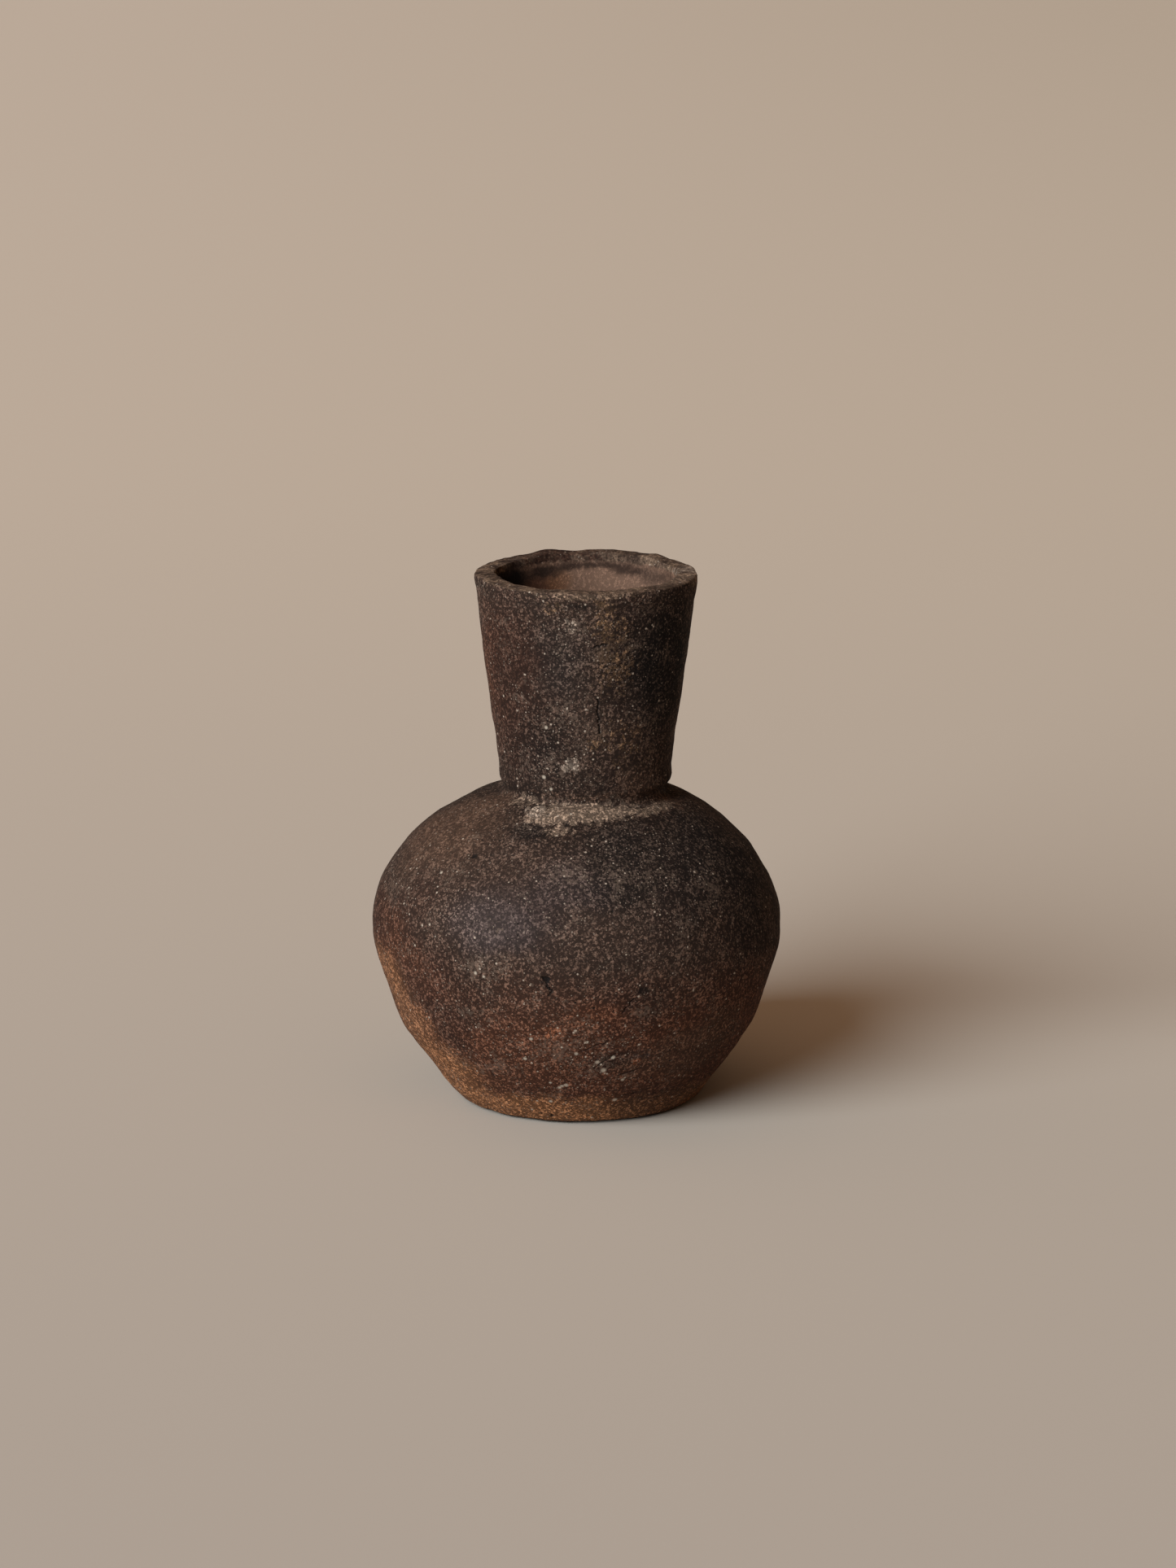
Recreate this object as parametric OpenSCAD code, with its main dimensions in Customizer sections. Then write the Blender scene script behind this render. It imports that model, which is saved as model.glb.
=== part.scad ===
// Hand-built earthenware vase: a full, squat body on a flat foot, and a tall neck that opens to the lip.
// It is one piece of fired clay, drawn as one skin that runs up the outside, over the lip and down inside.
// The maker's hand shows: the body leans, the wall has broad pressed flats, and the lip rises and falls.

/* [Body] */
// Radius of the flat foot
foot_r = 43.5; // [38:0.5:52]
// Radius of the belly at its widest line
belly_r = 80; // [70:0.5:92]
// Height of the belly's widest line
belly_h = 73; // [60:1:86]
// Height of the crease between the shoulder and the neck
crease_h = 125; // [116:1:144]
// Fullness of the lower wall, from a straight cone at 1 to a round bowl at 2
lower_fullness = 1.95; // [1.2:0.05:2]
// Fullness of the shoulder, from a sloping cone at 1 to a flat top at 3
shoulder_fullness = 2.3; // [1.8:0.05:2.6]

/* [Neck] */
// Outer radius of the neck at the crease
neck_r = 33.5; // [28:0.5:38]
// Outer radius of the lip
lip_r = 43; // [39:0.5:50]
// Length of the neck, from the crease to the top of the lip
neck_l = 85; // [60:1:100]
// How late the neck opens, from a straight cone at 1 to a trumpet at 2
neck_flare = 1.05; // [1:0.05:2]
// Width of the worked band of clay that seals the neck to the shoulder
seal_w = 9; // [5:0.5:12]
// Thickness of that band
seal_t = 0.8; // [0.6:0.1:2]

/* [Clay] */
// Thickness of the wall
wall_t = 8; // [5:0.5:10]
// Thickness of the lip
lip_t = 8; // [6:0.5:10]
// Height over which the lip is rounded off
lip_round = 2; // [1:0.25:3]
// Thickness of the floor
floor_t = 11; // [8:0.5:14]
// Radius that rounds the edge of the foot
foot_edge = 4; // [3:0.5:7]

/* [Maker's hand] */
// How far the belly stands off the foot's centre
belly_shift = 3.3; // [0:0.1:5]
// How far the neck stands off the foot's centre, to the other side
neck_shift = 0.7; // [0:0.1:3]
// How far the body is out of round
body_oval = 0.7; // [0:0.1:2]
// How far the neck is out of round
neck_oval = 0.4; // [0:0.1:1.5]
// Depth of the deepest pressed flat in the wall
press_d = 2.4; // [0:0.1:3]
// Height of the highest rise of the lip
lip_rise = 1.6; // [0:0.1:2.5]
// How far the crease dips to the right
crease_dip = 0.8; // [0:0.1:2]

/* [Hidden] */

around = 84;
step_a = 360 / around;
vase_h = crease_h + neck_l;
lip_h = vase_h - lip_round;

// Rows of points along each stretch of the section
foot_rows = 2;
lower_rows = 9;
shoulder_rows = 12;
neck_rows = 10;
lip_rows = 6;
bore_rows = 6;
throat_rows = 2;
hollow_rows = 7;
floor_rows = 3;

// The foot's edge starts with a short straight step, and the board that the pot dries on presses it flat
step_h = 0.3;
press_depth = 1;
board_t = 10;

// How the rows crowd towards the crease, and how square the lip's section is
crowding = 1.5;
squareness = 0.5;
dish_steepness = 4;

// How late the neck's stand-off and the lip's rises set in on the way up
shift_steepness = 8;
rise_steepness = 3;

// Where the oval and the three-sided swelling point, and the swelling's share of the oval
oval_a = 30;
swelling_a = -20;
swelling_share = 0.5;

// The hand's moves fade out within this share of the neck's radius from the middle
fade_share = 0.5;

// Broad flats left by the hand, each with its angle, its height as a share of the vase's,
// its half width in degrees, its half height as a share of the vase's, and its share of press_d,
// which is below zero where the clay swells out instead
flats = [
    [184, 0.44, 26, 0.050, 0.35],
    [186, 0.23, 30, 0.050, 0.6],
    [190, 0.52, 24, 0.035, -0.8],
    [188, 0.14, 24, 0.060, -0.5],
    [182, 0.00, 20, 0.060, -1.3],
    [355, 0.06, 34, 0.060, 0.5],
    [350, 0.13, 26, 0.050, -0.3],
    [6, 0.50, 30, 0.090, 1.0],
    [2, 0.43, 26, 0.045, 0.5],
    [0, 0.31, 26, 0.065, -0.45],
    [228, 0.30, 24, 0.090, 0.7],
    [262, 0.47, 28, 0.070, 0.6],
    [286, 0.22, 26, 0.090, 0.8],
    [318, 0.40, 22, 0.090, 0.6],
    [60, 0.30, 28, 0.100, 0.8],
    [100, 0.20, 24, 0.080, 0.6],
    [95, 0.47, 30, 0.080, 0.7],
    [140, 0.33, 26, 0.090, 0.9],
    [350, 0.69, 34, 0.080, 0.45],
    [285, 0.76, 30, 0.100, 0.35],
    [60, 0.82, 36, 0.100, 0.4],
    [130, 0.70, 28, 0.080, 0.35]
];

// Rises and dips of the lip, each with its angle, its half width in degrees and its share of lip_rise
waves = [
    [50, 10, 0.7],
    [78, 14, 0.75],
    [112, 12, 1.0],
    [140, 10, 0.2],
    [200, 20, 0.3],
    [330, 24, -0.4]
];

function mix(a, b, t) = a + (b - a) * t;
function sum(v) = v * [for (i = v) 1];
function share(t) = max(0, min(1, t));
function bell(x) = exp(-x * x);
function turn(a, b) = (a - b + 540) % 360 - 180;
function crowd(i, n) = 1 - pow(1 - i / n, crowding);

// The outside of the wall where it leaves the foot's round edge
wall_lean = atan((belly_r - foot_r) * lower_fullness / belly_h);
wall_r = foot_r + foot_edge * cos(wall_lean);
wall_z = step_h + foot_edge * (1 - sin(wall_lean));

// The outside of the wall, each stretch from its foot at 0 to its top at 1
function lower_wall(t) = [mix(wall_r, belly_r, 1 - pow(1 - t, lower_fullness)), mix(wall_z, belly_h, t)];
function shoulder(t) = [mix(belly_r, neck_r, pow(t, shoulder_fullness)), mix(belly_h, crease_h, t)];
function neck(t) = [mix(neck_r, lip_r, pow(t, neck_flare)), mix(crease_h, lip_h, t)];

// How far the wall leans outwards, in degrees from upright
function lower_lean(t) =
    atan2((belly_r - wall_r) * lower_fullness * pow(1 - t, lower_fullness - 1), belly_h - wall_z);
function shoulder_lean(t) =
    atan2((neck_r - belly_r) * shoulder_fullness * pow(t, shoulder_fullness - 1), crease_h - belly_h);

// The point one wall's thickness inside p, square to a wall that leans by lean
function inside(p, lean) = p + wall_t * [-cos(lean), sin(lean)];

// The worked band lies on the shoulder just outside the crease
function seal(p) = p + [0, seal_t * bell(2 * (p[0] - neck_r) / seal_w - 1)];

foot = [for (i = [0:foot_rows - 1]) let(a = mix(-90, -wall_lean, i / foot_rows))
    [foot_r, step_h + foot_edge] + foot_edge * [cos(a), sin(a)]];

outside = concat(
    [[foot_r, -press_depth]],
    foot,
    [for (i = [0:lower_rows - 1]) lower_wall(i / lower_rows)],
    [for (i = [0:shoulder_rows - 1]) seal(shoulder(crowd(i, shoulder_rows)))],
    [for (i = [0:neck_rows - 1]) neck(i / neck_rows)]
);

// The lip goes from the outside of the neck over to its bore, with its corners rubbed round
function swell(x) = sign(x) * pow(abs(x), squareness);
lip = [for (i = [0:lip_rows - 1]) let(a = 180 * i / lip_rows)
    [lip_r - lip_t / 2 * (1 - swell(cos(a))), lip_h + lip_round * swell(sin(a))]];

// The inside of the wall goes down the bore, round the throat, and out and down to the dished floor
function bore(t) = neck(t) - [mix(wall_t, lip_t, t), 0];
floor_share = (floor_t + foot_edge) / belly_h;
dish_rim = inside(lower_wall(floor_share), lower_lean(floor_share));
function dish(s) = [dish_rim[0] * s, mix(floor_t, dish_rim[1], pow(s, dish_steepness))];

hollow = concat(
    [for (i = [0:bore_rows - 1]) bore(1 - i / bore_rows)],
    [for (i = [0:throat_rows - 1]) inside([neck_r, crease_h], mix(0, shoulder_lean(1), i / throat_rows))],
    [for (i = [0:hollow_rows - 1]) let(t = crowd(hollow_rows - i, hollow_rows))
        inside(shoulder(t), shoulder_lean(t))],
    [for (i = [0:hollow_rows - 1]) let(t = mix(1, floor_share, i / hollow_rows))
        inside(lower_wall(t), lower_lean(t))],
    [for (i = [0:floor_rows - 1]) dish(1 - i / floor_rows)]
);

section = concat(outside, lip, hollow);

// The maker's hand moves each point of the section by its angle and height
function stand_off(z) =
    let(t = share(z / crease_h))
    mix(-belly_shift * sin(180 * t), neck_shift, pow(t, shift_steepness));
function out_of_round(a, z) =
    mix(body_oval, neck_oval, share(z / crease_h))
    * (cos(2 * (a - oval_a)) + swelling_share * cos(3 * (a - swelling_a) + z));
function pressed(a, z) =
    press_d * sum([for (f = flats) f[4] * bell(turn(a, f[0]) / f[2]) * bell((z / vase_h - f[1]) / f[3])]);
function wave(a) = lip_rise * sum([for (w = waves) w[2] * bell(turn(a, w[0]) / w[1])]);
function lifted(a, z) =
    wave(a) * pow(share((z - crease_h) / neck_l), rise_steepness)
    - crease_dip * cos(a) * bell((z - crease_h) / neck_r);

// Where a point of the section goes at one angle; the moves fade out towards the middle of the floor
function place(p, a) =
    let(r = p[0] + share(p[0] / (fade_share * neck_r)) * (out_of_round(a, p[1]) - pressed(a, p[1])))
    [r * cos(a) + stand_off(p[1]), r * sin(a), p[1] + lifted(a, p[1])];

module skin() {
    middle = len(section) * around;
    last_row = middle - around;
    points = concat(
        [for (p = section) for (j = [0:around - 1]) place(p, j * step_a)],
        [[stand_off(floor_t), 0, floor_t]]
    );
    foot_face = [for (j = [0:around - 1]) j];
    wall_faces = [for (here = [0:around:last_row - around]) for (j = [0:around - 1])
        let(k = (j + 1) % around, above = here + around)
        each [[here + j, above + j, above + k], [here + j, above + k, here + k]]];
    floor_faces = [for (j = [0:around - 1]) [last_row + j, middle, last_row + (j + 1) % around]];
    polyhedron(points, concat([foot_face], wall_faces, floor_faces));
}

module vase() {
    color("#4a3a30")
    difference() {
        skin();
        translate([-belly_r, -belly_r, -board_t]) cube([2 * belly_r, 2 * belly_r, board_t]);
    }
}

vase();
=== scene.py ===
import math
import random

import bmesh
import bpy
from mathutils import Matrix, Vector, noise
from mathutils.bvhtree import BVHTree
from mathutils.kdtree import KDTree


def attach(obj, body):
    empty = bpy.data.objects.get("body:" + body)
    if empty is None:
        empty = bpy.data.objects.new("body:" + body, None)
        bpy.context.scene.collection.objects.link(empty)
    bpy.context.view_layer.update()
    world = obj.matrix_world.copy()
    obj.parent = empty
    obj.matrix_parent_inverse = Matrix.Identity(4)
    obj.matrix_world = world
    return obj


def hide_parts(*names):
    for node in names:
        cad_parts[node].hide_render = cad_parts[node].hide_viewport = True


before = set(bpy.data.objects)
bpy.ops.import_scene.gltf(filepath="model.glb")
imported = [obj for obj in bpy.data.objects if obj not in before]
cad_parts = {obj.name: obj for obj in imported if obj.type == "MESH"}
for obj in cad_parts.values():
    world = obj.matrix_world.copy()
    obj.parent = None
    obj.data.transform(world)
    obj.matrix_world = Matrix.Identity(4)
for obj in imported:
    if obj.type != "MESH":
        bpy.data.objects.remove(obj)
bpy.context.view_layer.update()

mm = 0.001


def say(stage):
    print("vase:", stage)


# A tone as a screen shows it, from 0 to 255, as the linear light that the nodes take
def linear(red, green, blue):
    shares = []
    for level in (red, green, blue):
        share = level / 255
        shares.append(share / 12.92 if share <= 0.04045 else ((share + 0.055) / 1.055) ** 2.4)
    return (*shares, 1.0)


# Camera, at the height and tilt that the lip's and the foot's ellipses give
view = {
    "lens": 108.35,
    "sensor": 36.0,
    "tilt": 13.8,
    "distance": 1850 * mm,
    "lookAt": (1.5 * mm, 0.0, 125.2 * mm),
    "nearest": 0.05,
    "farthest": 60.0,
}


def makeCamera():
    data = bpy.data.cameras.new("viewpoint")
    data.lens = view["lens"]
    data.sensor_fit = "VERTICAL"
    data.sensor_height = view["sensor"]
    data.clip_start = view["nearest"]
    data.clip_end = view["farthest"]
    camera = bpy.data.objects.new("viewpoint", data)
    bpy.context.scene.collection.objects.link(camera)
    tilt = math.radians(view["tilt"])
    back = Vector((0, -math.cos(tilt), math.sin(tilt)))
    camera.location = Vector(view["lookAt"]) + back * view["distance"]
    camera.rotation_euler = (math.pi / 2 - tilt, 0, 0)
    bpy.context.scene.camera = camera


# Small helpers for building node trees

def addNode(tree, kind, inputs=None, **settings):
    node = tree.nodes.new(kind)
    for name, value in settings.items():
        setattr(node, name, value)
    for name, value in (inputs or {}).items():
        if isinstance(value, bpy.types.NodeSocket):
            tree.links.new(value, node.inputs[name])
        else:
            node.inputs[name].default_value = value
    return node


def calc(tree, operation, first, second=0.0, third=0.0):
    node = addNode(tree, "ShaderNodeMath", {0: first, 1: second, 2: third}, operation=operation)
    return node.outputs[0]


def vecCalc(tree, operation, first, second, output=0):
    node = addNode(tree, "ShaderNodeVectorMath", {0: first, 1: second}, operation=operation)
    return node.outputs[output]


def remap(tree, value, low, high, toLow=0.0, toHigh=1.0, kind="LINEAR"):
    node = addNode(tree, "ShaderNodeMapRange",
                   {"Value": value, "From Min": low, "From Max": high, "To Min": toLow, "To Max": toHigh},
                   interpolation_type=kind)
    return node.outputs["Result"]


def blend(tree, factor, first, second, kind="MIX"):
    node = addNode(tree, "ShaderNodeMix", {0: factor, 6: first, 7: second}, data_type="RGBA", blend_type=kind)
    return node.outputs[2]


def newGroup(name, inputs, outputs):
    group = bpy.data.node_groups.new(name, "ShaderNodeTree")
    for label, kind in inputs.items():
        group.interface.new_socket(label, in_out="INPUT", socket_type=kind)
    for label, kind in outputs.items():
        group.interface.new_socket(label, in_out="OUTPUT", socket_type=kind)
    start = group.nodes.new("NodeGroupInput")
    end = group.nodes.new("NodeGroupOutput")
    return group, start, end


def newMaterial(name):
    material = bpy.data.materials.new(name)
    material.use_nodes = True
    tree = material.node_tree
    shader = tree.nodes["Principled BSDF"]
    return material, tree, shader


# Floor, a wide pale sheet with a painted fall of light: a little lighter towards the back, lighter to the
# left and darker to the right

floorPlan = {
    "reach": 14.0,
    "front": (163, 153, 144),
    "middle": (177, 163, 149),
    "back": (174, 160, 146),
    "frontAt": -0.9,
    "middleAt": 1.6,
    "backAt": 6.0,
    "sideReach": 0.8,
    # The left is painted lighter and the right darker, as the light falls
    "leftLitLevel": (1.05, 1.05, 1.05, 1.0),
    "rightShadedLevel": (0.93, 0.92, 0.89, 1.0),
    "roughness": 0.9,
    "gloss": 0.2,
}


def makeFloor():
    material, tree, shader = newMaterial("paleSheet")
    place = addNode(tree, "ShaderNodeTexCoord").outputs["Object"]
    parts = addNode(tree, "ShaderNodeSeparateXYZ", {0: place})
    # Painted light falloff: darker at the front and towards the right
    near = remap(tree, parts.outputs["Y"], floorPlan["frontAt"], floorPlan["middleAt"], kind="SMOOTHSTEP")
    far = remap(tree, parts.outputs["Y"], floorPlan["middleAt"], floorPlan["backAt"], kind="SMOOTHSTEP")
    side = remap(tree, parts.outputs["X"], -floorPlan["sideReach"], floorPlan["sideReach"])
    colour = blend(tree, near, linear(*floorPlan["front"]), linear(*floorPlan["middle"]))
    colour = blend(tree, far, colour, linear(*floorPlan["back"]))
    level = blend(tree, side, floorPlan["leftLitLevel"], floorPlan["rightShadedLevel"])
    colour = blend(tree, 1.0, colour, level, "MULTIPLY")
    tree.links.new(colour, shader.inputs["Base Color"])
    shader.inputs["Roughness"].default_value = floorPlan["roughness"]
    shader.inputs["Specular IOR Level"].default_value = floorPlan["gloss"]
    bm = bmesh.new()
    bmesh.ops.create_grid(bm, x_segments=1, y_segments=1, size=floorPlan["reach"])
    mesh = bpy.data.meshes.new("floor")
    bm.to_mesh(mesh)
    bm.free()
    mesh.materials.append(material)
    floor = bpy.data.objects.new("floor", mesh)
    bpy.context.scene.collection.objects.link(floor)


# Light: one large soft key from the front left, and a weak warm fill all round

light = {
    "keyStrength": 6.0,
    "keyColour": (0.82, 0.93, 1.0),
    "keySpread": 44.0,
    "keySide": 42.0,
    "keyHeight": 27.0,
    "keyDistance": 2.0,
    "fillColour": (0.36, 0.235, 0.15),
    "fillFrom": (-0.6, -0.35, 0.72),
    "fillWeak": 0.25,
    "fillStrong": 1.7,
    "fillEdge": -0.2,           # the fill grows from a little behind the sides
    "skyColour": (181, 164, 148),
}


def makeLight():
    data = bpy.data.lights.new("key", "SUN")
    data.energy = light["keyStrength"]
    data.color = light["keyColour"]
    data.angle = math.radians(light["keySpread"])
    key = bpy.data.objects.new("key", data)
    bpy.context.scene.collection.objects.link(key)
    side = math.radians(light["keySide"])
    height = math.radians(light["keyHeight"])
    level = math.cos(height)
    towards = Vector((-math.sin(side) * level, -math.cos(side) * level, math.sin(height)))
    key.location = towards * light["keyDistance"]
    key.rotation_euler = towards.to_track_quat("Z", "Y").to_euler()
    world = bpy.data.worlds.new("softFill")
    bpy.context.scene.world = world
    world.use_nodes = True
    tree = world.node_tree
    fill = tree.nodes["Background"]
    fill.inputs["Color"].default_value = (*light["fillColour"], 1.0)
    direction = addNode(tree, "ShaderNodeTexCoord").outputs["Generated"]
    facing = vecCalc(tree, "DOT_PRODUCT", direction, Vector(light["fillFrom"]).normalized(), "Value")
    strength = remap(tree, facing, light["fillEdge"], 1.0, light["fillWeak"], light["fillStrong"],
                     "SMOOTHSTEP")
    tree.links.new(strength, fill.inputs["Strength"])
    sky = addNode(tree, "ShaderNodeBackground", {"Color": linear(*light["skyColour"])})
    rays = addNode(tree, "ShaderNodeLightPath")
    mix = addNode(tree, "ShaderNodeMixShader",
                  {0: rays.outputs["Is Camera Ray"], 1: fill.outputs[0], 2: sky.outputs[0]})
    tree.links.new(mix.outputs[0], tree.nodes["World Output"].inputs["Surface"])


# The clay skin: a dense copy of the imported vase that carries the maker's and the fire's marks

skin = {
    "mergeGap": 0.01 * mm,
    "soleHeight": 0.05 * mm,    # what lies lower than this is the flat sole
    "soleFacing": -0.99,
    "joinAngle": 40,            # triangles that turn less than this are joined into quads
    "joinShape": 60,            # and how far from square such a quad may be
    "coarsest": 1.9 * mm,       # longest edge left on the parts that show
    "cutRounds": 3,
    "seenInside": 150 * mm,     # the bore above this height shows from above
    "seenFacing": -0.2,         # outside faces look this much outwards or more
    "seenRadius": 30 * mm,
    "evening": 3,               # rounds of smoothing after the cuts
    "evenFactor": 0.5,
    "evenFrom": 0.6 * mm,
    "sharpFrom": 204 * mm,      # the lip and the crease get one round only
    "creaseFrom": 122 * mm,
    "creaseTo": 133 * mm,
    "rimFrom": 200 * mm,
    "undercut": 1.1 * mm,       # the foot's edge draws in by this much at the floor
    "undercutHeight": 1.6 * mm,
    "undercutRadius": 20 * mm,
    "outOfReach": 300 * mm,     # rays to the wall start this far out
    "markDepth": 0.7 * mm,      # how deep a crack or pit of depth 1 goes
    "crackSteps": 9,
    "crackReach": 1.2 * mm,
    "crackWidth": 0.34 * mm,
    "pitReach": 2.5,            # in radii, as a pit's edge is ragged
    "pitRaggedness": 0.5,
    "pitRaggedSize": 0.9 * mm,
    "pitSteepness": 3,
    "seed": 7,
}

# Lumps of the wall, wiping marks and lumps of the lip, each with its size and height in millimetres
lumps = ((14, 0.35), (5, 0.16), (2.2, 0.1))
wiping = ((22, 0.25),)
wipeStretch = 3  # how much longer a wiping mark is than it is high
lipLumps = ((6, 0.35), (3, 0.2))

# How fine the faces near cracks and pits are cut, each round with its reach and longest edge in millimetres
fineCuts = ((2.4, 0.8), (1.6, 0.4), (1.1, 0.22))

# Hollows left by the fingers, and swellings where the depth is below zero, each with its angle, height,
# half width in degrees, half height and depth in millimetres
presses = {
    "creaseAll": (270, 126.4, 400, 1.6, 0.5),
    "creaseLeft": (185, 125.0, 34, 2.6, 1.9),
    "creaseRight": (355, 124.4, 34, 2.8, 2.2),
    "shoulderLeft": (156, 122.8, 24, 2.6, 1.4),
    "shoulderRight": (24, 121.8, 24, 2.8, 1.5),
    "shoulderLow": (20, 116.5, 24, 3.5, 0.4),
    "neckFootLeft": (186, 135.5, 26, 4, 0.6),
    "neckFootRight": (340, 129.4, 40, 2.8, -1.0),
    "footLeft": (205, 6, 26, 7, -1.3),
    "creaseLine": (305, 126.2, 40, 0.9, 0.35),
    "bandRight": (314, 121.8, 18, 1.2, -0.35),
    "neckLeft": (186, 146, 26, 8, 0.6),
    "lipLobe": (353, 204.5, 12, 3.0, -0.5),
    "lipCorner": (196, 207, 5, 2.5, 0.5),
    "lipNotch": (214, 209, 5, 2.5, 0.4),
    "bandEdge": (262, 118.6, 28, 1.2, 0.35),
    "band": (262, 122.4, 30, 2.6, -0.35),
}

# Cracks, each from one place on the wall to another as angle and height, with its wander and depth
cracks = {
    "bellyHook": ((259.6, 66.6), (261.2, 63.2), 0.6, 0.9),
    "bellyHookEnd": ((261.2, 63.2), (260.0, 61.4), 0.3, 0.7),
    "bellyRight": ((281.4, 53.5), (284.6, 58.9), 0.4, 0.7),
    "lowerLong": ((268.5, 36.5), (278.0, 40.7), 0.6, 0.6),
    "lowerMiddle": ((273.4, 28.6), (280.5, 35.0), 0.6, 0.5),
    "lowerRight": ((282.6, 24.8), (289.0, 26.8), 0.4, 0.7),
    "footRight": ((286.0, 14.7), (291.0, 14.9), 0.3, 0.6),
    "neckUpright": ((278.0, 167.5), (279.7, 154.0), 0.9, 0.8),
    "neckShort": ((275.4, 188.6), (282.5, 189.6), 0.7, 0.8),
    "backLong": ((70.0, 52.0), (84.0, 47.0), 0.8, 0.7),
    "backNeck": ((112.0, 172.0), (110.0, 160.0), 0.5, 0.7),
}

# Pits, each with its angle, height, radius and depth in millimetres
pits = {
    "bellyPit": (259.5, 67.9, 1.6, 1.3),
    "shoulderPit": (227.5, 108.0, 1.1, 0.8),
    "footPit": (255.0, 3.8, 0.9, 0.8),
    "footPitSmall": (250.5, 4.6, 0.6, 0.5),
    "lowerPit": (237.0, 23.0, 0.9, 0.6),
    "backPit": (48.0, 92.0, 1.5, 1.0),
    "backPitLow": (131.0, 34.0, 1.2, 0.8),
}


def wallPoint(tree, angle, height):
    turn = math.radians(angle)
    outward = Vector((math.cos(turn), math.sin(turn), 0))
    start = outward * skin["outOfReach"] + Vector((0, 0, height * mm))
    return tree.ray_cast(start, -outward)[0]


def borePoint(tree, angle, height):
    turn = math.radians(angle)
    outward = Vector((math.cos(turn), math.sin(turn), 0))
    return tree.ray_cast(Vector((0, 0, height * mm)), outward)[0]


def crackPath(tree, start, end, wander, dice):
    points = []
    steps = skin["crackSteps"]
    for i in range(steps + 1):
        share = i / steps
        loose = math.sqrt(math.sin(math.pi * share)) * wander
        angle = start[0] + (end[0] - start[0]) * share + dice.uniform(-loose, loose)
        height = start[1] + (end[1] - start[1]) * share + dice.uniform(-loose, loose)
        points.append(wallPoint(tree, angle, height))
    return points


def pathDistance(point, path):
    best = math.inf
    for a, b in zip(path, path[1:]):
        span = b - a
        share = max(0.0, min(1.0, (point - a).dot(span) / span.length_squared))
        best = min(best, (point - a - span * share).length)
    return best


def pointTree(points):
    tree = KDTree(len(points))
    for index, point in enumerate(points):
        tree.insert(point, index)
    tree.balance()
    return tree


def pointsNear(tree, places, reach):
    return {index for place in places for _, index, _ in tree.find_range(place, reach)}


def markDepths(bm, paths, holes):
    bm.verts.index_update()
    places = [vert.co.copy() for vert in bm.verts]
    tree = pointTree(places)
    marks = {}
    for path, depth in paths:
        for index in pointsNear(tree, path, skin["crackReach"]):
            away = pathDistance(places[index], path) / skin["crackWidth"]
            marks[index] = max(marks.get(index, 0.0), math.exp(-away * away) * depth)
    for hole, radius, depth in holes:
        for index in pointsNear(tree, [hole], skin["pitReach"] * radius):
            place = places[index]
            away = (place - hole).length / radius
            away = max(0.0, away + noise.noise(place / skin["pitRaggedSize"]) * skin["pitRaggedness"])
            marks[index] = max(marks.get(index, 0.0), math.exp(-away ** skin["pitSteepness"]) * depth)
    return marks


def cutLongEdges(bm, faces, longest):
    edges = {edge for face in faces for edge in face.edges if edge.calc_length() > longest}
    bmesh.ops.subdivide_edges(bm, edges=list(edges), cuts=1, use_grid_fill=True)
    return len(edges)


def cutForMarks(bm, paths, holes):
    for reach, longest in fineCuts:
        middles = pointTree([face.calc_center_median() for face in bm.faces])
        near = set()
        for path, _ in paths:
            near |= pointsNear(middles, path, reach * mm)
        for hole, radius, _ in holes:
            near |= pointsNear(middles, [hole], radius + reach * mm)
        bm.faces.ensure_lookup_table()
        cutLongEdges(bm, [bm.faces[index] for index in near], longest * mm)


def pressDepth(place):
    angle = math.degrees(math.atan2(place.y, place.x))
    depth = 0.0
    for middle, height, halfWidth, halfHeight, deepest in presses.values():
        aside = ((angle - middle + 540) % 360 - 180) / halfWidth
        above = (place.z / mm - height) / halfHeight
        depth += deepest * math.exp(-aside * aside - above * above)
    return depth * mm


def lumpHeight(place, sizes):
    return sum(noise.noise(place / (size * mm)) * height * mm for size, height in sizes)


def isSeen(face):
    middle = face.calc_center_median()
    outward = Vector((middle.x, middle.y, 0)).normalized()
    if middle.z < skin["soleHeight"]:
        return False
    outside = face.normal.dot(outward) > skin["seenFacing"] and middle.length > skin["seenRadius"]
    return outside or middle.z > skin["seenInside"]


def roundedCopy(piece):
    return bpy.data.meshes.new_from_object(piece.evaluated_get(bpy.context.evaluated_depsgraph_get()))


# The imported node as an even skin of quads, rounded once; its corners keep their places
def roundNode(node):
    bm = bmesh.new()
    bm.from_mesh(node.data)
    bmesh.ops.remove_doubles(bm, verts=bm.verts, dist=skin["mergeGap"])
    sole = [face for face in bm.faces
            if face.normal.z < skin["soleFacing"] and face.calc_center_median().z < skin["soleHeight"]]
    bmesh.ops.dissolve_faces(bm, faces=sole)
    bmesh.ops.join_triangles(bm, faces=[face for face in bm.faces if len(face.verts) == 3],
                             angle_face_threshold=math.radians(skin["joinAngle"]),
                             angle_shape_threshold=math.radians(skin["joinShape"]))
    crease = bm.edges.layers.float.new("crease_edge")
    for edge in bm.edges:
        if all(vert.co.z < skin["soleHeight"] for vert in edge.verts):
            edge[crease] = 1.0
    mesh = bpy.data.meshes.new("claySkin")
    bm.to_mesh(mesh)
    bm.free()
    piece = bpy.data.objects.new("claySkin", mesh)
    bpy.context.scene.collection.objects.link(piece)
    rounding = piece.modifiers.new("rounding", "SUBSURF")
    rounding.levels = 1
    rounding.render_levels = 1
    corners = [vert.co.copy() for vert in mesh.vertices]

    # The rounded skin shrinks, so its corners go out first by as much as each would be drawn in
    rounded = roundedCopy(piece)
    for vert, corner, drawnIn in zip(mesh.vertices, corners, rounded.vertices):
        vert.co = corner + (corner - drawnIn.co)
    mesh.update()
    smooth = roundedCopy(piece)
    piece.modifiers.clear()
    return piece, smooth


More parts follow.
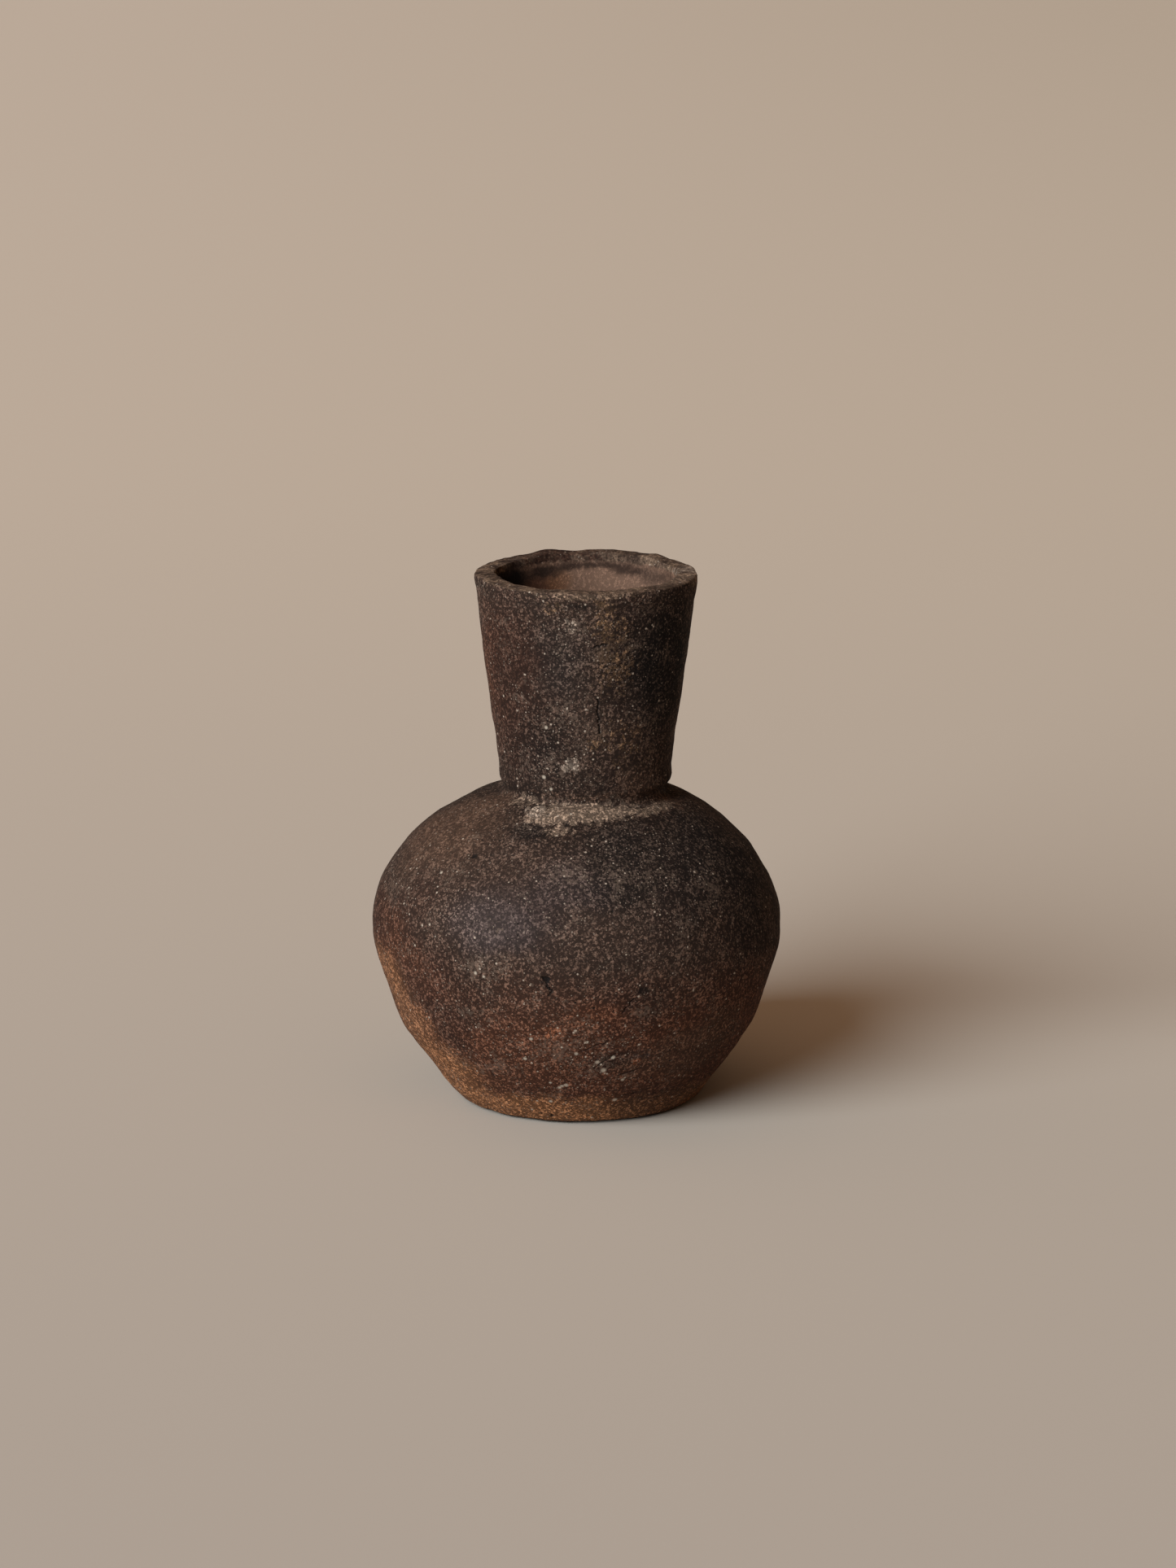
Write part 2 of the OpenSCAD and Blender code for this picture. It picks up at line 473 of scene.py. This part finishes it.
def evenOut(bm):
    for _ in range(skin["cutRounds"]):
        if not cutLongEdges(bm, [face for face in bm.faces if isSeen(face)], skin["coarsest"]):
            break
    upper = [vert for vert in bm.verts if vert.co.z > skin["evenFrom"]]
    plain = [vert for vert in upper
             if vert.co.z < skin["creaseFrom"] or skin["creaseTo"] < vert.co.z < skin["sharpFrom"]]
    for verts in [upper] + [plain] * (skin["evening"] - 1):
        bmesh.ops.smooth_vert(bm, verts=verts, factor=skin["evenFactor"],
                              use_axis_x=True, use_axis_y=True, use_axis_z=True)


# Lumps, wiping, presses, cracks and pits move the clay along its own normal
def moveClay(bm, marks):
    sunk = bm.verts.layers.float.new("sunk")
    inside = bm.verts.layers.float.new("inside")
    rim = bm.verts.layers.float.new("rim")
    bm.normal_update()
    moves = []
    for vert in bm.verts:
        place = vert.co.copy()
        aside = Vector((place.x, place.y, 0))
        outward = aside.normalized()
        facing = vert.normal.dot(outward)
        vert[inside] = 1.0 if facing < 0 else 0.0
        vert[rim] = vert.normal.z if place.z > skin["rimFrom"] else 0.0
        drawn = max(0.0, 1 - place.z / skin["undercutHeight"]) * skin["undercut"]
        if place.z < skin["soleHeight"]:
            atEdge = aside.length > skin["undercutRadius"]
            moves.append(-outward * drawn if atEdge else Vector())
            continue
        wiped = Vector((place.x, place.y, place.z * wipeStretch))
        lump = lumpHeight(place, lumps) + lumpHeight(wiped, wiping)
        if place.z > skin["sharpFrom"]:
            lump += lumpHeight(place, lipLumps)
        if facing > 0:
            lump -= pressDepth(place)
        mark = marks.get(vert.index, 0.0)
        vert[sunk] = mark
        moves.append(vert.normal * (lump - mark * skin["markDepth"]) - outward * drawn)
    for vert, move in zip(bm.verts, moves):
        vert.co += move
        vert.co.z = max(vert.co.z, 0.0)
    for face in bm.faces:
        face.smooth = True


def makeSkin(node):
    piece, smooth = roundNode(node)
    bm = bmesh.new()
    bm.from_mesh(smooth)
    evenOut(bm)
    say(f"even skin, {len(bm.faces)} faces")
    wall = BVHTree.FromBMesh(bm)
    dice = random.Random(skin["seed"])
    paths = [(crackPath(wall, start, end, wander, dice), depth)
             for start, end, wander, depth in cracks.values()]
    holes = [(wallPoint(wall, angle, height), radius * mm, depth)
             for angle, height, radius, depth in pits.values()]
    cutForMarks(bm, paths, holes)
    say(f"cut for cracks and pits, {len(bm.faces)} faces")
    moveClay(bm, markDepths(bm, paths, holes))
    bm.to_mesh(piece.data)
    bm.free()
    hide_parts("vase")
    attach(piece, "root")
    polygons = piece.data.polygons
    say(f"skin done, {len(polygons)} faces, {sum(len(p.vertices) - 2 for p in polygons)} triangles")
    return piece, wall


# Tones of the fired clay
tones = {
    "ochre": (108, 71, 45),
    "paleOchre": (108, 73, 49),
    "emberRed": (65, 37, 24),
    "deepRed": (47, 27, 19),
    "orange": (97, 55, 34),
    "umber": (49, 35, 28),
    "deepUmber": (35, 23, 17),
    "sootAndShade": (18, 12, 10),
    "blueBlack": (38, 30, 27),
    "blueGrey": (47, 37, 35),
    "steelSheen": (64, 53, 50),
    "taupe": (67, 48, 37),
    "dust": (103, 85, 71),
    "frost": (126, 110, 97),
    "speck": (150, 134, 119),
    "crumb": (100, 83, 71),
    "tan": (100, 75, 53),
    "rimDust": (90, 72, 58),
    "rosyClay": (98, 74, 60),
    "pitShade": (12, 9, 8),
    "stone": (150, 137, 122),
}

# Tone of the wall by height in millimetres, before the fire's patches
wallTones = (
    (0, "ochre"),
    (8, "ochre"),
    (15, "emberRed"),
    (42, "emberRed"),
    (74, "umber"),
    (110, "umber"),
    (118, "deepUmber"),
    (127, "deepUmber"),
    (150, "umber"),
    (209, "umber"),
)

# Patches left by the fire, each with its tone, angle, height, reach sideways, reach upwards and strength; on
# the right, away from the light, the soot and deep umber are partly painted shade
patches = (
    ("ochre", 199, 57, 22, 18, 0.65),
    ("paleOchre", 205, 38, 24, 20, 0.65),
    ("ochre", 212, 20, 28, 18, 0.85),
    ("ochre", 240, 4, 34, 7, 0.9),
    ("deepUmber", 305, 8, 36, 12, 0.6),
    ("emberRed", 202, 74, 28, 18, 0.85),
    ("emberRed", 228, 56, 24, 16, 0.8),
    ("sootAndShade", 231, 51, 14, 9, 0.4),
    ("orange", 273, 52, 16, 8, 0.25),
    ("sootAndShade", 226, 38, 15, 10, 0.5),
    ("sootAndShade", 281, 33, 16, 10, 0.6),
    # These blue-grey patches on the front of the belly are partly the clay's own blue-grey and partly a
    # painted sheen where it faces the light
    ("blueGrey", 247, 89, 34, 18, 0.75),
    ("blueGrey", 266, 102, 26, 14, 0.7),
    ("taupe", 201, 112, 40, 22, 0.8),
    ("sootAndShade", 284, 112, 26, 12, 0.7),
    ("umber", 312, 88, 46, 26, 0.8),
    ("deepUmber", 340, 84, 40, 34, 0.8),
    # Soot on the right, turned from the light: partly real soot and partly painted shade
    ("sootAndShade", 320, 108, 40, 22, 0.7),
    ("sootAndShade", 340, 100, 40, 26, 0.6),
    ("emberRed", 205, 172, 24, 40, 0.85),
    ("deepUmber", 236, 176, 24, 40, 0.75),
    ("deepRed", 218, 180, 22, 30, 0.6),
    ("deepRed", 232, 150, 20, 22, 0.4),
    ("deepRed", 222, 66, 26, 22, 0.55),
    ("deepRed", 214, 90, 18, 14, 0.35),
    # Partly painted sheen, on the belly where it faces the light
    ("blueGrey", 250, 86, 16, 14, 0.5),
    ("sootAndShade", 280, 99, 18, 12, 0.5),
    ("sootAndShade", 308, 98, 24, 20, 0.45),
    ("sootAndShade", 328, 82, 22, 20, 0.4),
    ("deepUmber", 236, 60, 18, 18, 0.5),
    ("deepUmber", 289, 58, 14, 10, 0.4),
    ("deepRed", 202, 76, 20, 12, 0.5),
    ("sootAndShade", 290, 185, 16, 30, 0.35),
    ("taupe", 205, 122, 14, 6, 0.8),
    ("blueBlack", 256, 182, 18, 24, 0.6),
    ("sootAndShade", 238, 148, 20, 20, 0.7),
    ("sootAndShade", 247, 152, 12, 14, 0.35),
    ("sootAndShade", 300, 190, 20, 22, 0.25),
    ("umber", 308, 188, 12, 14, 0.5),
    # Soot on the right of the neck, turned from the light: partly real soot and partly painted shade
    ("sootAndShade", 324, 180, 30, 44, 0.95),
    ("deepRed", 222, 172, 26, 46, 0.7),
    ("deepRed", 208, 148, 20, 22, 0.5),
    ("deepUmber", 252, 156, 16, 20, 0.35),
    ("sootAndShade", 298, 92, 26, 18, 0.3),
    # Painted highlight, partly: the lighter steel tone on the belly where it faces the light
    ("steelSheen", 243, 88, 22, 15, 0.5),
    ("deepUmber", 226, 160, 22, 44, 0.3),
    ("taupe", 318, 38, 22, 16, 0.6),
    ("ochre", 314, 5, 28, 9, 0.25),
    ("sootAndShade", 287, 102, 22, 11, 0.5),
    ("deepRed", 190, 78, 20, 14, 0.8),
    ("emberRed", 214, 67, 20, 12, 0.5),
    ("deepRed", 222, 49, 18, 10, 0.8),
    ("taupe", 304, 30, 32, 16, 0.6),
    ("taupe", 310, 131, 14, 9, 0.5),
    ("taupe", 336, 123, 14, 6, 0.6),
    # Soot on the back right, turned from the light: partly real soot and partly painted shade
    ("sootAndShade", 30, 92, 50, 34, 0.7),
    ("emberRed", 80, 60, 40, 26, 0.7),
    ("blueGrey", 105, 96, 40, 24, 0.6),
    ("ochre", 130, 24, 34, 20, 0.8),
    ("sootAndShade", 150, 110, 30, 18, 0.7),
    ("emberRed", 95, 172, 22, 30, 0.7),
    ("sootAndShade", 50, 160, 24, 34, 0.7),
    ("ochre", 20, 14, 30, 12, 0.6),
)

# Smaller marks with a firmer edge, written the same way
smallMarks = (
    ("orange", 261, 45, 6, 5, 0.7),
    ("blueGrey", 290, 33, 8, 4, 0.6),
    ("sootAndShade", 287, 62, 4, 3, 0.8),
    ("orange", 288, 31, 4, 3, 0.7),
    ("sootAndShade", 244, 117, 14, 5, 0.8),
    ("dust", 268, 123.0, 24, 4.8, 1.0),
    ("dust", 250, 122.0, 16, 5.0, 1.0),
    ("frost", 242, 123.0, 9, 4.0, 0.6),
    ("dust", 228, 125.0, 12, 4.0, 0.55),
    ("dust", 290, 123.0, 18, 2.4, 0.9),
    ("taupe", 268, 128.0, 30, 3.0, 0.5),
    ("dust", 258, 118.0, 10, 2.6, 0.7),
    ("dust", 314, 122.0, 20, 2.0, 1.0),
    ("tan", 284, 196, 13, 10, 0.42),
    ("tan", 290, 180, 12, 12, 0.32),
    ("tan", 276, 149.5, 4, 4, 0.6),
    ("tan", 296, 152, 12, 12, 0.32),
    ("tan", 280, 205, 6, 4, 0.5),
    ("tan", 254, 204, 7, 4, 0.45),
    ("frost", 262, 197, 7, 6, 0.4),
    ("frost", 261, 141, 6, 5, 0.5),
    ("dust", 350, 208, 14, 5, 0.8),
    ("frost", 8, 208, 14, 6, 0.8),
    ("deepUmber", 194, 208, 14, 6, 0.8),
    ("rimDust", 272, 208.4, 34, 2.0, 0.8),
    ("sootAndShade", 262, 204.6, 26, 2.2, 0.6),
    ("deepUmber", 116, 210, 34, 8, 0.8),
    ("deepRed", 106, 210, 36, 8, 0.7),
    ("deepUmber", 60, 209, 20, 8, 0.7),
    ("dust", 70, 122.6, 26, 3.2, 0.7),
    ("dust", 150, 123, 18, 2.2, 0.5),
)

# Marks on the inside of the mouth, written as the patches are; the soot on the left and the deep umber and
# soot along the lip are painted shade
mouthMarks = (
    ("emberRed", 124, 197, 16, 12, 0.7),
    ("ochre", 108, 200, 8, 7, 0.4),
    # Painted shade on the inner wall at the left, which the light does not reach
    ("sootAndShade", 168, 200, 28, 20, 1.0),
    ("sootAndShade", 146, 203, 14, 7, 1.0),
    # Painted shadow of the lip, along the bore from the back to the right
    ("deepUmber", 118, 204, 12, 4.0, 0.95),
    ("deepUmber", 98, 205.6, 12, 2.6, 0.85),
    ("deepUmber", 78, 206.0, 13, 2.0, 0.8),
    ("deepUmber", 60, 204.8, 12, 3.6, 0.85),
    ("sootAndShade", 42, 203.6, 11, 5.0, 0.55),
    ("deepUmber", 24, 204, 10, 5, 0.55),
)

# Single pale stones in the clay, each with its angle, height and radius
stones = (
    (267.5, 36, 1.1),
    (276.6, 27.7, 1.6),
    (282.5, 12.6, 1.4),
    (263.5, 21, 1.3),
    (261, 19.6, 1.1),
    (274.4, 31.8, 1.3),
    (279.5, 33.6, 1.2),
    (284, 22.5, 1.1),
    (251, 33, 1.1),
    (256.5, 12, 1.1),
    (334.9, 31.6, 0.8),
    (254, 42.4, 1.0),
    (267.4, 46.5, 0.9),
    (239, 68, 1.0),
    (241.5, 67, 0.8),
    (243, 135.4, 1.1),
    (247.7, 130.8, 0.9),
    (246.4, 155.7, 1.0),
    (262, 20.5, 1.0),
    (258, 22, 0.8),
    (271, 41, 0.9),
    (219, 101, 0.9),
    (95, 70, 1.2),
    (60, 44, 1.0),
)

# Where pale grains lie thicker, each with its angle, height, reach and amount
frosted = (
    (262, 198, 13, 1.0),
    (268, 172, 34, 0.5),
    (288, 104, 34, 0.6),
    (262, 140, 11, 1.0),
    (250, 148, 22, 0.6),
    (246, 134, 10, 0.5),
    (278, 184, 14, 0.4),
    (240, 76, 14, 0.4),
    (288, 188, 16, 0.4),
    (241, 70, 12, 0.8),
    (270, 32, 24, 1.5),
    (250, 36, 14, 0.7),
    (262, 14, 16, 0.7),
    (214, 96, 22, 0.4),
    (100, 80, 40, 0.7),
    (60, 180, 24, 0.7),
)

# Where the grain is weaker, written the same way
smoothed = (
    (200, 112, 50, 0.5),
    (212, 172, 34, 0.25),
    (214, 66, 26, 0.2),
    (250, 92, 30, 0.4),
    (310, 30, 34, 0.4),
    (244, 178, 16, 0.3),
)

# Where the crumbs are tan, each with its angle, height and reach
tanned = (
    (286, 196, 14),
    (290, 178, 16),
    (294, 146, 18),
)

# Noises of the clay, each with its size, its detail and how rough that detail is
noises = {
    "drift": (24 * mm, 2.0, 0.6),
    "shiver": (5 * mm, 4.0, 0.6),
    "nibble": (2.5 * mm, 3.0, 0.6),
    "crumb": (0.9 * mm, 1.0, 0.6),
    "crumble": (2.2 * mm, 3.0, 0.65),
    "rimMottle": (6 * mm, 3.0, 0.7),
    "mottle": (6 * mm, 3.0, 0.6),
    "grain": (1.4 * mm, 2.0, 0.7),
    "fineGrain": (0.55 * mm, 2.0, 0.6),
    "cluster": (11 * mm, 3.0, 0.65),
    "specks": (1.2 * mm, 2.0, 0.75),
}
noiseMiddle = 0.5  # a noise swings up and down from here

# How far each noise pushes positions about, so that no patch has a plain edge
pushes = {
    "drift": 18 * mm,
    "shiver": 6 * mm,
    "nibble": 3.2 * mm,
    "crumb": 0.28 * mm,
}

# How strong each effect on the clay is
finish = {
    "patchCore": 0.25,          # the share of a patch's reach that has its full tone
    "crumble": 2.4,
    "crumbleEdge": 0.3,
    "crumbleFrom": 0.3,
    "crumbleTo": 0.75,
    "crumbled": 0.7,
    "mottle": 1.8,
    "sandSize": 0.8 * mm,
    "sand": 2.6,
    "grain": 3.0,
    "fineGrain": 4.6,
    "ground": -0.33,
    "leastForce": 0.2,          # grain is never calmed below this
    "topLevel": 1.3,
    "lowLevel": -0.6,
    "levelRound": 0.6,
    "paleFrom": 0.2,
    "paleTo": 1.4,
    "palest": 0.2,
    "speckFrom": 0.59,
    "speckTo": 0.72,
    "speck": 0.36,
    "cluster": 0.75,
    "crowding": 0.07,
    "crowdFrom": -0.12,
    "crowdTo": 0.16,
    "leastCrowd": 0.25,
    "smallestGrain": 0.35,
    "grainCore": 0.6,
    "grainRelief": 0.25,
    "stone": 0.9,
    "sunkShade": 1.2,
    "deepestShade": 0.92,
    "insideGrain": 0.35,
    "rimCalm": 0.5,
    "rimFrom": 0.3,
    "rimTo": 0.65,
    "rimToneFrom": 0.35,
    "rimToneTo": 0.65,
    "edgeFrom": 206.8 * mm,
    "edgeTo": 207.8 * mm,
    # Painted contact shadow at the foot's lowest edge
    "contactShadeFrom": 0.9 * mm,
    "contactShadeTo": 1.7 * mm,
    "contactShade": 0.95,
    "roughness": 0.88,
    "gloss": 0.12,
    "bump": 0.6,
    "bumpHeight": 0.3 * mm,
}

# Grit in the clay, each with the size of its cells, the share of them that hold a grain,
# and the grain's size, tone and strength
grits = {
    "fineFrost": (1.2 * mm, 0.48, 0.36, "frost", 0.7),
    "coarseFrost": (2.6 * mm, 0.38, 0.25, "speck", 0.85),
    # The holes carry painted shade, the tone standing for the shade inside them
    "holes": (3.6 * mm, 0.18, 0.2, "pitShade", 0.85),
}


# A soft patch round a centre, with its own reach along each axis
def makePatchGroup():
    group, start, end = newGroup("firePatch", {"Position": "NodeSocketVector", "Centre": "NodeSocketVector",
                                               "Reach": "NodeSocketVector"}, {"Mask": "NodeSocketFloat"})
    away = vecCalc(group, "SUBTRACT", start.outputs["Position"], start.outputs["Centre"])
    away = vecCalc(group, "DIVIDE", away, start.outputs["Reach"])
    length = addNode(group, "ShaderNodeVectorMath", {0: away}, operation="LENGTH").outputs["Value"]
    mask = remap(group, length, finish["patchCore"], 1.0, 1.0, 0.0, "SMOOTHSTEP")
    group.links.new(mask, end.inputs["Mask"])
    return group


# Round grains of many sizes, in a share of the cells
def makeGritGroup():
    group, start, end = newGroup("grit", {"Position": "NodeSocketVector", "Size": "NodeSocketFloat",
                                          "Share": "NodeSocketFloat", "Grain": "NodeSocketFloat"},
                                 {"Mask": "NodeSocketFloat"})
    scale = calc(group, "DIVIDE", 1.0, start.outputs["Size"])
    cells = addNode(group, "ShaderNodeTexVoronoi",
                    {"Vector": start.outputs["Position"], "Scale": scale, "Randomness": 1.0}, feature="F1")
    luck = addNode(group, "ShaderNodeSeparateColor", {0: cells.outputs["Color"]})
    chosen = calc(group, "LESS_THAN", luck.outputs["Red"], start.outputs["Share"])
    radius = remap(group, luck.outputs["Green"], 0.0, 1.0, finish["smallestGrain"], 1.0)
    radius = calc(group, "MULTIPLY", radius, start.outputs["Grain"])
    near = calc(group, "DIVIDE", cells.outputs["Distance"], radius)
    grain = remap(group, near, finish["grainCore"], 1.0, 1.0, 0.0, "SMOOTHSTEP")
    group.links.new(calc(group, "MULTIPLY", grain, chosen), end.inputs["Mask"])
    return group


def useGroup(tree, group, **inputs):
    return addNode(tree, "ShaderNodeGroup", inputs, node_tree=group).outputs["Mask"]


def attributeOf(tree, name):
    return addNode(tree, "ShaderNodeAttribute", attribute_name=name).outputs["Fac"]


def heightOf(tree, position):
    return addNode(tree, "ShaderNodeSeparateXYZ", {0: position}).outputs["Z"]


def noiseOf(tree, position, name, output="Fac"):
    size, detail, roughness = noises[name]
    node = addNode(tree, "ShaderNodeTexNoise",
                   {"Vector": position, "Scale": 1 / size, "Detail": detail, "Roughness": roughness})
    return node.outputs[output]


def swing(tree, value, amount):
    return calc(tree, "MULTIPLY", calc(tree, "SUBTRACT", value, noiseMiddle), amount)


def pushed(tree, place, *names):
    moved = place
    for name in names:
        push = vecCalc(tree, "SUBTRACT", noiseOf(tree, place, name, "Color"), (noiseMiddle,) * 3)
        moved = vecCalc(tree, "ADD", moved, vecCalc(tree, "MULTIPLY", push, (pushes[name],) * 3))
    return moved


def patchMask(clay, where, angle, height, sideways, upwards, find=wallPoint):
    centre = find(clay["wall"], angle, height)
    reach = (sideways * mm, sideways * mm, upwards * mm)
    return useGroup(clay["tree"], clay["patch"], Position=clay[where], Centre=centre, Reach=reach)


def paintMarks(clay, where, marks, colour, find=wallPoint):
    tree = clay["tree"]
    for tone, angle, height, sideways, upwards, strength in marks:
        mask = patchMask(clay, where, angle, height, sideways, upwards, find)
        colour = blend(tree, calc(tree, "MULTIPLY", mask, strength), colour, linear(*tones[tone]))
    return colour


def addSpots(clay, spots, total):
    for angle, height, reach, amount in spots:
        mask = patchMask(clay, "loose", angle, height, reach, reach)
        total = calc(clay["tree"], "MULTIPLY_ADD", mask, amount, total)
    return total


# Tone by height, then the fire's patches
def wallColour(clay):
    tree = clay["tree"]
    top = wallTones[-1][0]
    share = calc(tree, "DIVIDE", heightOf(tree, clay["loose"]), top * mm)
    ramp = addNode(tree, "ShaderNodeValToRGB", {0: share})
    stops = ramp.color_ramp.elements
    while len(stops) < len(wallTones):
        stops.new(1.0)
    for stop, (height, tone) in zip(stops, wallTones):
        stop.position = height / top
        stop.color = linear(*tones[tone])
    return paintMarks(clay, "loose", patches, ramp.outputs["Color"])


# The rim is what faces up at the top of the neck, down to the edge of the bore
def rimMask(clay, inside):
    tree = clay["tree"]
    flat = remap(tree, attributeOf(tree, "rim"), finish["rimFrom"], finish["rimTo"])
    edge = remap(tree, heightOf(tree, clay["crisp"]), finish["edgeFrom"], finish["edgeTo"])
    return calc(tree, "MAXIMUM", flat, calc(tree, "MULTIPLY", inside, edge))


def paintRim(clay, rim, colour):
    tree = clay["tree"]
    mottle = noiseOf(tree, clay["plain"], "rimMottle")
    share = remap(tree, mottle, finish["rimToneFrom"], finish["rimToneTo"])
    return blend(tree, rim, colour, blend(tree, share, linear(*tones["umber"]), linear(*tones["rimDust"])))


# The smaller marks crumble at their edges, and the crumbs stay near them
def paintSmallMarks(clay, colour):
    tree = clay["tree"]
    crumbs = swing(tree, noiseOf(tree, clay["plain"], "crumble"), finish["crumble"])
    for tone, angle, height, sideways, upwards, strength in smallMarks:
        mask = patchMask(clay, "crisp", angle, height, sideways, upwards)
        near = remap(tree, mask, 0.0, finish["crumbleEdge"])
        mask = calc(tree, "MULTIPLY_ADD", mask, strength, crumbs)
        mask = remap(tree, mask, finish["crumbleFrom"], finish["crumbleTo"], 0.0, finish["crumbled"])
        colour = blend(tree, calc(tree, "MULTIPLY", mask, near), colour, linear(*tones[tone]))
    return colour


# How light or dark the grain and the mottling are, as a power of e
def grainLevel(clay, calm):
    tree = clay["tree"]
    place = clay["plain"]
    sand = addNode(tree, "ShaderNodeTexVoronoi",
                   {"Vector": clay["crumbled"], "Scale": 1 / finish["sandSize"]})
    sand = addNode(tree, "ShaderNodeSeparateColor", {0: sand.outputs["Color"]}).outputs["Blue"]
    level = calc(tree, "ADD", swing(tree, sand, finish["sand"]), finish["ground"])
    for name in ("grain", "fineGrain"):
        level = calc(tree, "ADD", level, swing(tree, noiseOf(tree, place, name), finish[name]))
    force = calc(tree, "MAXIMUM", calc(tree, "SUBTRACT", 1.0, calm), finish["leastForce"])
    mottle = swing(tree, noiseOf(tree, place, "mottle"), finish["mottle"])
    level = calc(tree, "MULTIPLY_ADD", level, force, mottle)
    level = calc(tree, "SMOOTH_MIN", level, finish["topLevel"], finish["levelRound"])
    return calc(tree, "SMOOTH_MAX", level, finish["lowLevel"], finish["levelRound"])


def paintSpecks(clay, cluster, crowd, calm, colour):
    tree = clay["tree"]
    crowding = calc(tree, "MULTIPLY", calc(tree, "SUBTRACT", crowd, calm), finish["crowding"])
    specks = calc(tree, "MULTIPLY_ADD", cluster, finish["cluster"], noiseOf(tree, clay["plain"], "specks"))
    specks = calc(tree, "ADD", specks, crowding)
    specks = remap(tree, specks, finish["speckFrom"], finish["speckTo"], 0.0, finish["speck"])
    warmth = 0.0
    for angle, height, reach in tanned:
        warmth = calc(tree, "MAXIMUM", warmth, patchMask(clay, "loose", angle, height, reach, reach))
    tone = blend(tree, warmth, linear(*tones["crumb"]), linear(*tones["tan"]))
    return blend(tree, specks, colour, tone)


# Grit, the small holes that it leaves, painted dark with shade, and the single stones
def paintGrit(clay, cluster, crowd, level, colour):
    tree = clay["tree"]
    gritGroup = makeGritGroup()
    thickness = remap(tree, cluster, finish["crowdFrom"], finish["crowdTo"], finish["leastCrowd"], 1.0)
    thickness = calc(tree, "ADD", thickness, crowd)
    raised = calc(tree, "MULTIPLY", level, finish["grainRelief"])
    for size, share, grain, tone, strength in grits.values():
        hollow = tone == "pitShade"
        amount = share if hollow else calc(tree, "MULTIPLY", thickness, share)
        mask = useGroup(tree, gritGroup, Position=clay["crumbled"], Size=size, Share=amount, Grain=grain)
        colour = blend(tree, calc(tree, "MULTIPLY", mask, strength), colour, linear(*tones[tone]))
        raised = calc(tree, "SUBTRACT" if hollow else "ADD", raised, mask)
    for angle, height, radius in stones:
        mask = patchMask(clay, "crumbled", angle, height, radius, radius)
        colour = blend(tree, calc(tree, "MULTIPLY", mask, finish["stone"]), colour, linear(*tones["stone"]))
    return colour, raised


def makeClay(wall):
    material, tree, shader = newMaterial("firedClay")
    place = addNode(tree, "ShaderNodeTexCoord").outputs["Object"]
    clay = {
        "tree": tree,
        "wall": wall,
        "patch": makePatchGroup(),
        "plain": place,
        "loose": pushed(tree, place, "drift", "shiver"),
        "crisp": pushed(tree, place, "nibble"),
        "crumbled": pushed(tree, place, "crumb"),
    }
    inside = attributeOf(tree, "inside")
    rim = rimMask(clay, inside)
    crowd = addSpots(clay, frosted, 0.0)
    calm = addSpots(clay, smoothed, calc(tree, "MULTIPLY", rim, finish["rimCalm"]))
    cluster = swing(tree, noiseOf(tree, place, "cluster"), 1.0)
    level = grainLevel(clay, calm)
    ratio = calc(tree, "POWER", math.e, level)

    colour = paintRim(clay, rim, wallColour(clay))
    colour = paintSmallMarks(clay, colour)
    colour = blend(tree, 1.0, colour, ratio, "MULTIPLY")
    pale = remap(tree, level, finish["paleFrom"], finish["paleTo"], 0.0, finish["palest"])
    colour = blend(tree, pale, colour, linear(*tones["frost"]))
    colour = paintSpecks(clay, cluster, crowd, calm, colour)
    colour, raised = paintGrit(clay, cluster, crowd, level, colour)

    # Painted shade in the cracks and pits, which the skin marks where it is sunk
    shade = calc(tree, "MULTIPLY", attributeOf(tree, "sunk"), finish["sunkShade"])
    shade = calc(tree, "MINIMUM", shade, finish["deepestShade"])
    colour = blend(tree, shade, colour, linear(*tones["pitShade"]))

    # The inside of the mouth, and a painted contact shadow: the thin dark line where the foot meets what it
    # stands on
    rosy = paintMarks(clay, "crisp", mouthMarks, linear(*tones["rosyClay"]), borePoint)
    rosy = blend(tree, 1.0, rosy, calc(tree, "POWER", ratio, finish["insideGrain"]), "MULTIPLY")
    colour = blend(tree, calc(tree, "MULTIPLY", inside, calc(tree, "SUBTRACT", 1.0, rim)), colour, rosy)
    # Painted contact shadow along the foot's lowest edge
    low = remap(tree, heightOf(tree, place), finish["contactShadeFrom"], finish["contactShadeTo"],
                finish["contactShade"], 0.0)
    colour = blend(tree, low, colour, linear(*tones["pitShade"]))
    tree.links.new(colour, shader.inputs["Base Color"])
    shader.inputs["Roughness"].default_value = finish["roughness"]
    shader.inputs["Specular IOR Level"].default_value = finish["gloss"]

    # Relief too fine for the mesh
    bump = addNode(tree, "ShaderNodeBump", {"Height": raised, "Strength": finish["bump"],
                                            "Distance": finish["bumpHeight"]})
    tree.links.new(bump.outputs["Normal"], shader.inputs["Normal"])
    return material


makeCamera()
makeFloor()
makeLight()
say("camera, floor and light")
vase, wall = makeSkin(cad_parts["vase"])
vase.data.materials.clear()
vase.data.materials.append(makeClay(wall))
say("clay")

bpy.context.scene.view_settings.view_transform = "Standard"
